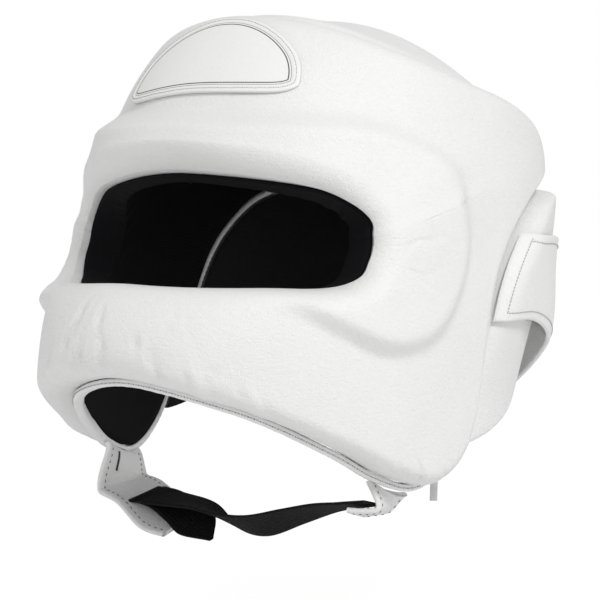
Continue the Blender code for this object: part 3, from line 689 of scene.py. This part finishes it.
rear_lacing = carried_mesh("rear_lacing", middle[:, None] + oval[None], lace_cloth.material)
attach(rear_lacing, "root")

# ----------------------------------------
# The closure band: two flaps of doubled white leather over the rear pads, each sewn down at
# its front end, the wearer's left one lapped over the right one. Edges stitched.
# ----------------------------------------
BAND_LEATHER, BAND_INSET, BAND_LAP = 0.0024, 0.0015, 14.0
# run, top height, bottom height, stand-off of the lower edge
BAND = np.array([(0.00, 0.02, -0.310, 0.00), (0.20, 0.00, -0.330, 0.08), (0.38, -0.04, -0.440, 0.32),
                 (0.58, -0.07, -0.660, 0.48), (1.00, -0.07, -0.660, 0.48)])
BAND_STITCH, BAND_HOLE = 0.0034, 0.00026


def flat_piece(name, grid, normals, thickness, finish, steps=5):
    """Closed strip of leather: a flat oval profile over each row of the grid, bottom first, its
    edges rounded by half its thickness."""
    bulge = np.sin(np.linspace(0, math.pi, steps))[1:-1] * thickness / 2
    lift = (1 - np.cos(np.linspace(0, math.pi, steps)))[1:-1] * thickness / 2
    first = unit(grid[:, 0] - grid[:, 1])[:, None]
    last = unit(grid[:, -1] - grid[:, -2])[:, None]
    right = grid[:, -1:] + last * bulge[None, :, None] + normals[:, -1:] * lift[None, :, None]
    left = grid[:, :1] + first * bulge[None, :, None] + normals[:, :1] * lift[None, :, None]
    loop = np.concatenate([grid, right, (grid + normals * thickness)[:, ::-1], left[:, ::-1]], axis=1)
    return carried_mesh(name, loop, finish)


def grid_normals(grid, towards):
    """Row step crossed with column step, all turned to one side."""
    n = unit(np.cross(np.gradient(grid, axis=0), np.gradient(grid, axis=1)))
    return n * np.sign(np.sum(n * towards, axis=-1, keepdims=True) + 1e-9)


band_leather = leather("band_leather", (0.86, 0.86, 0.855), (0.78, 0.78, 0.775))
behind = Round(np.linspace(CORNER_TOP, CORNER_JAW, 60))
point, _, out = behind.edge()
band_start = point + out * (BINDING + BAND_INSET)
rows, columns = 110, 40
for name, side, over in (("left", 1, 1), ("right", -1, 0)):
    run = np.linspace(0, 1, rows)
    top, bottom, stand = (hermite(run, BAND[:, 0], BAND[:, k])[:, None] for k in (1, 2, 3))
    down = np.linspace(0, 1, columns)[None]
    height = level(top) * (1 - down) + level(bottom) * down
    first = np.interp(-height[0], -(band_start[:, 2] + CROWN_RISE),
                      np.arctan2(band_start[:, 0], -band_start[:, 1]))
    angle = first[None] * (1 - run[:, None]) + math.radians(180 + BAND_LAP) * run[:, None]
    lap = (BAND_LEATHER + BAND_FIT) * over * ease((run[:, None] - 0.42) / 0.25)
    lift = BAND_FIT + stand * REAR_PAD * ease(down) + lap
    full = rear_surface(angle, height)
    inside = hollow(angle, height)
    beyond = (angle - first[None]) * np.hypot(inside[..., 0], inside[..., 1]) + BAND_INSET
    thick = REAR_RIM + (full - REAR_RIM) * dome(beyond, 0.4 * REAR_PAD)
    away = outward(angle, height)
    grid = (inside + away * (thick + lift)[..., None]) * (side, 1, 1)
    normals = grid_normals(grid, away * (side, 1, 1))
    band = flat_piece(f"closure_flap_{name}", grid, normals, BAND_LEATHER, band_leather)
    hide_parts(f"closure_band_{name}")
    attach(band, "root")
    top_side = grid + normals * BAND_LEATHER
    keep = slice(3, rows - 3)
    for edge, column in (("top", 3), ("bottom", columns - 4)):
        row = top_side[keep, column], normals[keep, column]
        sewn("flap", f"_{name}_{edge}", *row, BAND_STITCH, 0.62, THREAD, 0.2, BAND_HOLE)
    row = top_side[3, 2:columns - 2], normals[3, 2:columns - 2]
    sewn("flap", f"_{name}_front", *row, BAND_STITCH, 0.62, THREAD, 0.2, BAND_HOLE)

# ----------------------------------------
# The crown pad: a thin round pad of white leather that closes the top, sewn under the
# shell's bound edge. Its rim follows that edge, and its field rounds the rim's corners off.
# ----------------------------------------
CROWN_PAD, CROWN_FIT, CROWN_BEND, CROWN_SOFT = 0.0055, 0.0012, 0.0004, 0.20

ring = Round(np.linspace(0, CORNER_TOP, 121))
point, _, out = ring.edge()
beside = point + out * (BINDING + CROWN_FIT)
turn = np.arctan2(beside[:, 0], -beside[:, 1])
beside = beside[:np.argmax(turn) + 1]
angle, height = rear_patch(15, 70)
back = hollow(angle[0], height[0] + FIT)[angle[0] > turn.max() + 0.02]
half = np.concatenate([beside, back])
rim = np.concatenate([half[:0:-1] * (-1, 1, 1), half])
centre = np.array([0.0, 0.08 * BACK_REACH, 0.0])
around = np.arctan2(rim[:, 0], -(rim[:, 1] - centre[1]))
corner = around[len(half) - 1 + len(beside) - 1]
bend = np.exp(-((np.abs(around) - corner) / 0.22)**2)
rim[:, :2] -= (rim - centre)[:, :2] * (CROWN_BEND / BACK_REACH * bend)[:, None]
order = np.argsort(around)
around, rim = around[order], rim[order]
a, b = np.meshgrid(np.linspace(-1, 1, 72), np.linspace(-1, 1, 72), indexing='ij')
u, v = a * np.sqrt(1 - b**2 / 2), b * np.sqrt(1 - a**2 / 2)
share, turn = np.hypot(u, v), np.arctan2(u, -v)
even = np.linspace(-math.pi, math.pi, 361)[:-1]
spread = np.fft.ifftshift(np.exp(-(even / CROWN_SOFT)**2))
ridged = np.stack([np.interp(even, around, rim[:, k], period=2 * math.pi) for k in range(3)], -1)
soft = np.real(np.fft.ifft(np.fft.fft(ridged, axis=0) * np.fft.fft(spread / spread.sum())[:, None], axis=0))
at = [np.interp(turn, around, rim[:, k], period=2 * math.pi) for k in range(3)]
at = [sharp + (np.interp(turn, even, soft[:, k], period=2 * math.pi) - sharp) * (1 - share**14)
      for k, sharp in enumerate(at)]
inner = np.stack([centre[0] + (at[0] - centre[0]) * share, centre[1] + (at[1] - centre[1]) * share,
                  at[2] + (centre[2] - at[2]) * np.clip(1 - share**2, 0, 1)], -1)
normal = grid_normals(inner, np.array([0.0, 0.0, 1.0]))
thick = CROWN_PAD * (0.45 + 0.55 * dome(1 - share, 0.12))
crown = pad_mesh("crown_cushion", inner, inner + normal * thick[..., None], rear_leather)
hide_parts("crown_pad")
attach(crown, "root")

# ----------------------------------------
# The forehead label: a bare half moon of white leather sewn on under the top edge, with a
# raised rim, a row of stitches in it, and two printed outlines inside the rim.
# ----------------------------------------
LABEL, LABEL_SPAN, LABEL_RISE, LABEL_DROP = 0.0014, 0.086, 0.036, 0.0095
LABEL_TILT, LABEL_BELLY, LABEL_CORNER = 0.0025, 0.0025, 0.0036
LABEL_RIM, LABEL_STITCH, LABEL_THREAD, LABEL_SEAM = 0.0030, 0.0022, 0.00018, 0.0016
THIN_LINE, BOLD_LINE = 0.0034, 0.0043

label_leather = Finish("label_leather", (0.86, 0.86, 0.85), 0.40, Specular_IOR_Level=0.4)
inset = label_leather.node("Attribute", {"attribute_name": "inset"}, out="Fac")
grain = label_leather.noise(label_leather.place(), 700.0, 4.0, 0.6)
thin_line = 1 - ((inset - THIN_LINE).math('ABSOLUTE')).over(0.00007, 0.00018)
bold_line = 1 - ((inset - BOLD_LINE).math('ABSOLUTE')).over(0.00014, 0.00030)
ink = (thin_line * 0.75).math('MAXIMUM', bold_line)
paper = label_leather.blend(grain.over(0.3, 0.8), (0.86, 0.86, 0.85, 1), (0.82, 0.82, 0.81, 1))
colour = label_leather.blend(ink, paper, (0.05, 0.05, 0.045, 1))
label_leather.feed(colour, 0.36 + grain * 0.12, grain, 0.0002, 0.5)

across, up = 260, 110
middle = Round(np.array([-0.5, 0.0, 0.5]))
base = middle.length[1, 0] - LABEL_DROP - LABEL_RISE
beside = middle.surface(np.full((3, 1), base))[0][:, 0]
wide = np.sin(np.linspace(-math.pi / 2, math.pi / 2, across))
arch = np.clip(1 - np.abs(wide)**2.2, 0, 1)**0.55
ring = Round(wide * LABEL_SPAN / 2 / np.linalg.norm(beside[2] - beside[0]))
foot = LABEL_TILT * wide - LABEL_BELLY * (1 - wide**2) + LABEL_CORNER * np.abs(wide)**14
share = np.linspace(0, 1, up)[None]
head = (0.12 + 0.88 * arch) * LABEL_RISE + LABEL_TILT * wide
rows_up = base + foot[:, None] * (1 - share) + head[:, None] * share
point, normal = ring.surface(rows_up)
grid = point + normal * (ring.padding(rows_up) + FIT)[..., None]
flat = np.stack([wide[:, None] * LABEL_SPAN / 2 + 0 * rows_up, rows_up], -1)
outline = np.concatenate([flat[:, -1], flat[::-1, 0]])
inset = np.full(flat.shape[:2], 1.0)
for k in range(0, len(outline), 2):
    inset = np.minimum(inset, np.linalg.norm(flat - outline[k], axis=-1))
normals = grid_normals(grid, normal)
raised = LABEL * (0.72 + 0.28 * (1 - ease((inset - LABEL_RIM + 0.0006) / 0.0008)))
top = grid + normals * (raised * (0.35 + 0.65 * dome(inset, 0.0009)))[..., None]
label = pad_mesh("forehead_label", grid, top, label_leather.material)
note(label, "inset", np.concatenate([inset, 0 * inset], axis=1))
inside = inset > LABEL_SEAM
low, high = np.argmax(inside, axis=1), up - 1 - np.argmax(inside[:, ::-1], axis=1)
k = np.flatnonzero(inside.any(1))
k, column = np.concatenate([k, k[::-1], k[:1]]), np.concatenate([low[k], high[k][::-1], low[k[:1]]])
sewn("label", "", top[k, column], normals[k, column], LABEL_STITCH, 0.6, LABEL_THREAD, 0.2, LABEL_THREAD)
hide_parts("label_plate")
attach(label, "root")

# ----------------------------------------
# The chin strap: a white leather strap from the right jaw corner, a black webbing from
# under a short leather tab at the left one, doubled back through the leather strap with its
# pointed end free. The leather is sewn along its edges and has a black bar tack.
# ----------------------------------------
STRAP_LEATHER, STRAP_WIDTH, WEBBING, WEBBING_WIDTH = 0.0026, 0.030, 0.0014, 0.020
# x of HEAD_HALF, y of FACE_REACH, height, tilt, share of the width
LEATHER_ROUTE = np.array([(-1.030, -0.400, -1.020, 0, 1.10), (-0.900, -0.425, -1.075, -6, 1.00),
                          (-0.730, -0.440, -1.104, -12, 0.95), (-0.560, -0.452, -1.180, -24, 0.88),
                          (-0.417, -0.462, -1.215, -28, 0.66)])
TAB_ROUTE = np.array([(1.010, -0.400, -1.010, 0, 0.80), (0.930, -0.425, -1.025, 8, 0.78),
                      (0.820, -0.450, -1.035, 14, 0.76)])
WEBBING_ROUTE = np.array([(0.900, -0.425, -1.000, 12, 1.0), (0.780, -0.450, -1.015, 14, 1.0),
                          (0.640, -0.468, -1.035, 17, 1.0), (0.437, -0.505, -1.084, 27, 1.0),
                          (0.200, -0.520, -1.142, 36, 1.0), (-0.030, -0.508, -1.146, 28, 1.0),
                          (-0.238, -0.489, -1.105, 4, 1.0), (-0.488, -0.466, -1.097, -6, 1.0),
                          (-0.740, -0.440, -1.0945, -12, 1.0)])
TAIL_ROUTE = np.array([(-0.640, -0.447, -1.102, -10, 1.0), (-0.520, -0.455, -1.116, -14, 1.0),
                       (-0.400, -0.462, -1.155, -24, 1.0), (-0.300, -0.464, -1.205, -28, 1.0),
                       (-0.202, -0.466, -1.259, -28, 0.06)])


def strap(name, route, width, thickness, finish, node, steps=120, hem=None):
    """Flat strap along a route read through the table, its width tilted about the route and
    drawn from the hem's points where it has one."""
    places, t = np.linspace(0, 1, len(route)), np.linspace(0, 1, steps)
    x, y, h, tilt, share = (hermite(t, places, route[:, k]) for k in range(5))
    middle = np.stack([x * HEAD_HALF, y * FACE_REACH, level(h) - CROWN_RISE], -1)
    along = unit(np.gradient(middle, axis=0))
    tilt = np.radians(tilt)
    across = np.stack([0 * t, np.cos(tilt), -np.sin(tilt)], -1)
    across = unit(across - along * np.sum(across * along, axis=1, keepdims=True))
    side = np.linspace(-1, 1, 15)
    grid = middle[:, None] + across[:, None] * (side[None] * (share * width / 2)[:, None])[..., None]
    if hem is not None:
        grid = grid + (hem - grid[0])[None] * (1 - ease(t / 0.35))[:, None, None]
    normals = unit(np.cross(np.gradient(grid, axis=1), np.gradient(grid, axis=0)))
    item = flat_piece(name, grid, -normals, thickness, finish)
    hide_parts(node)
    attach(item, "root")
    return grid, -normals


def hem_line(first, last):
    """Points just under the shell's bound edge between two places along the round."""
    point, normal, out = Round(np.linspace(first, last, 15)).edge()
    return point + normal * GAP + out * (BINDING + 1.5 * FIT)


webbing = Finish("black_webbing", (0.006, 0.006, 0.007), 0.8, Specular_IOR_Level=0.15)
place = webbing.place(source="UV")
ribs = webbing.node("TexWave", {"wave_type": 'BANDS', "bands_direction": 'Y'}, {"Vector": place, "Scale": 190.0})
picks = webbing.node("TexWave", {"wave_type": 'BANDS', "bands_direction": 'X'},
                     {"Vector": place, "Scale": 260.0, "Distortion": 2.0})
weave = ribs * 0.6 + picks * 0.4
shaded = webbing.blend(weave, (0.003, 0.003, 0.004, 1), (0.010, 0.010, 0.012, 1))
webbing.feed(shaded, 0.65 + weave * 0.2, weave, 0.0004, 0.9)

strap_leather = leather("strap_leather", (0.82, 0.82, 0.815), (0.66, 0.66, 0.655))
leather_grid, leather_normals = strap("chin_leather", LEATHER_ROUTE, STRAP_WIDTH, STRAP_LEATHER,
                                      strap_leather, "chin_strap_leather",
                                      hem=hem_line(-14.2, -12.9))
tab_grid, tab_normals = strap("chin_tab", TAB_ROUTE, STRAP_WIDTH, STRAP_LEATHER, strap_leather,
                              "chin_strap_tab", 40, hem_line(14.0, 13.1))
strap("chin_webbing", WEBBING_ROUTE, WEBBING_WIDTH, WEBBING, webbing.material,
      "chin_strap_webbing")
strap("chin_tail", TAIL_ROUTE, WEBBING_WIDTH, WEBBING, webbing.material,
      "chin_strap_tail", 60)
for name, grid, normals in (("chin_leather", leather_grid, leather_normals),
                            ("chin_tab", tab_grid, tab_normals)):
    for face, lift, turned in (("inner", 0, -1), ("outer", STRAP_LEATHER, 1)):
        for edge, column in (("front", 1), ("rear", 13)):
            row = (grid + normals * lift)[3:-2, column], normals[3:-2, column] * turned
            stitch_run(f"{name}_stitches_{face}_{edge}", *row, 0.0032, grey_thread, 0.55, 0.00024)
for face, lift, turned in (("inner", 0, -1), ("outer", STRAP_LEATHER, 1)):
    tack = (leather_grid + leather_normals * lift)[5:21, 4], leather_normals[5:21, 4] * turned
    stitch_run(f"bar_tack_{face}", *tack, 0.0009, black_thread, 0.95, 0.00055)

# ----------------------------------------
# The studio: a pale floor that glows a little like a light table, white all round, a large
# soft key lamp at the right of the camera and above it, and a low fill at its left.
# ----------------------------------------
FLOOR_HEIGHT, FLOOR_REACH = cad_box[0][2] - 0.045, 1.3

plain = Finish("floor_paint", (0.92, 0.92, 0.92), 0.9)
mottle = plain.noise(plain.place(), 6.0)
plain.feed(plain.blend(mottle, (0.94, 0.94, 0.94, 1), (0.92, 0.92, 0.92, 1)))
seen = plain.node("LightPath", out="Is Camera Ray")
glow = plain.node("Emission", (), {"Color": (1, 1, 1, 1), "Strength": 1.06})
floor_mix = plain.node("MixShader", (), {0: seen * 0.9, 2: glow})
plain.tree.links.new(plain.shader.outputs[0], floor_mix.socket.node.inputs[1])
plain.tree.links.new(floor_mix.socket, plain.tree.nodes["Material Output"].inputs["Surface"])
mesh = bpy.data.meshes.new("floor")
corners = [(x * FLOOR_REACH, y * FLOOR_REACH, FLOOR_HEIGHT) for x, y in ((-1, -1), (1, -1), (1, 1), (-1, 1))]
mesh.from_pydata(corners, [], [(0, 1, 2, 3)])
mesh.materials.append(plain.material)
floor = placed("floor", mesh)

world = bpy.data.worlds.new("studio")
world.use_nodes = True
sky = world.node_tree.nodes["Background"]
backdrop = world.node_tree.nodes.new("ShaderNodeBackground")
backdrop.inputs["Color"].default_value = (1, 1, 1, 1)
sky.inputs["Color"].default_value = (1, 1, 1, 1)
sky.inputs["Strength"].default_value = 0.62
seen = world.node_tree.nodes.new("ShaderNodeLightPath")
either = world.node_tree.nodes.new("ShaderNodeMixShader")
for source, socket in ((seen.outputs["Is Camera Ray"], either.inputs[0]), (sky.outputs[0], either.inputs[1]),
                       (backdrop.outputs[0], either.inputs[2]),
                       (either.outputs[0], world.node_tree.nodes["World Output"].inputs["Surface"])):
    world.node_tree.links.new(source, socket)
bpy.context.scene.world = world
bpy.context.scene.view_settings.view_transform = 'Standard'

for name, place, size, power in (("key", (1.20, -0.60, 1.05), 0.45, 13.5),
                                 ("fill", (-0.9, -1.1, 0.1), 0.9, 1.0)):
    lamp = bpy.data.lights.new(name, 'AREA')
    lamp.shape, lamp.size, lamp.energy = 'DISK', size, power
    item = placed(name, lamp)
    item.location = Vector(place)
    item.rotation_euler = (EYE_LINE - item.location).to_track_quat('-Z', 'Y').to_euler()
